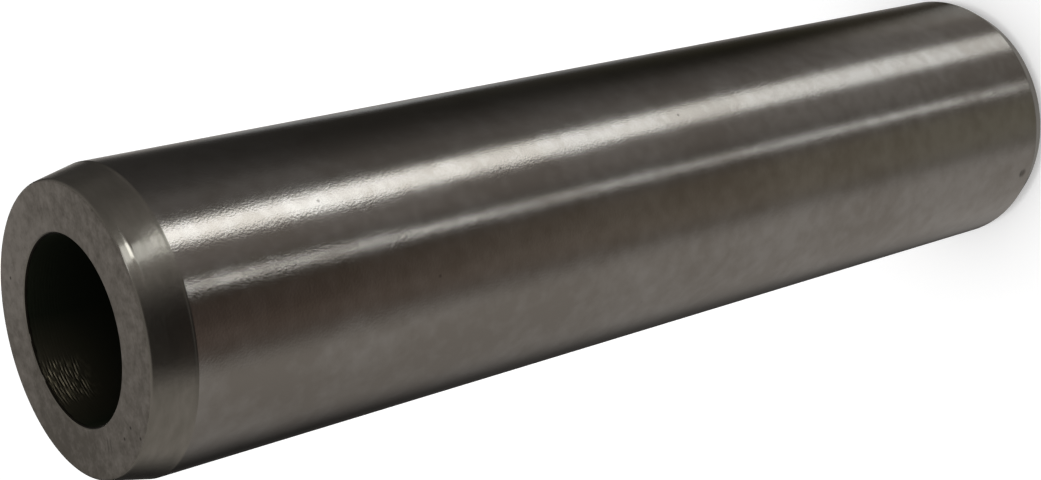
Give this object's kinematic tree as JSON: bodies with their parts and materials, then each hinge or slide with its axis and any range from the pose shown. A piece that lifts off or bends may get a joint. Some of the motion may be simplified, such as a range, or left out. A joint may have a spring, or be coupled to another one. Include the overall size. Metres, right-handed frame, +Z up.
{
  "type": "valve guide",
  "caption": "Plain turned iron tube that guides an engine valve's stem: ground outside, bored through, with a long lead-in taper at one end and a short chamfer at the other.",
  "frame": {"origin": "centre of the lower end face, on the tube's axis, where the guide stands", "axes": "+Z up along the tube's axis, from the chamfered lower end to the lead-in taper at the upper end; the tube is round, so +X and +Y are free"},
  "size_m": [0.015, 0.015, 0.063],
  "materials": {
    "ground_iron": "ground outside with a fine satin sheen, turned end faces, darker bored hole, thin film of oil"
  },
  "bodies": {
    "root": {"valve_guide": "ground_iron"}
  },
  "joints": []
}
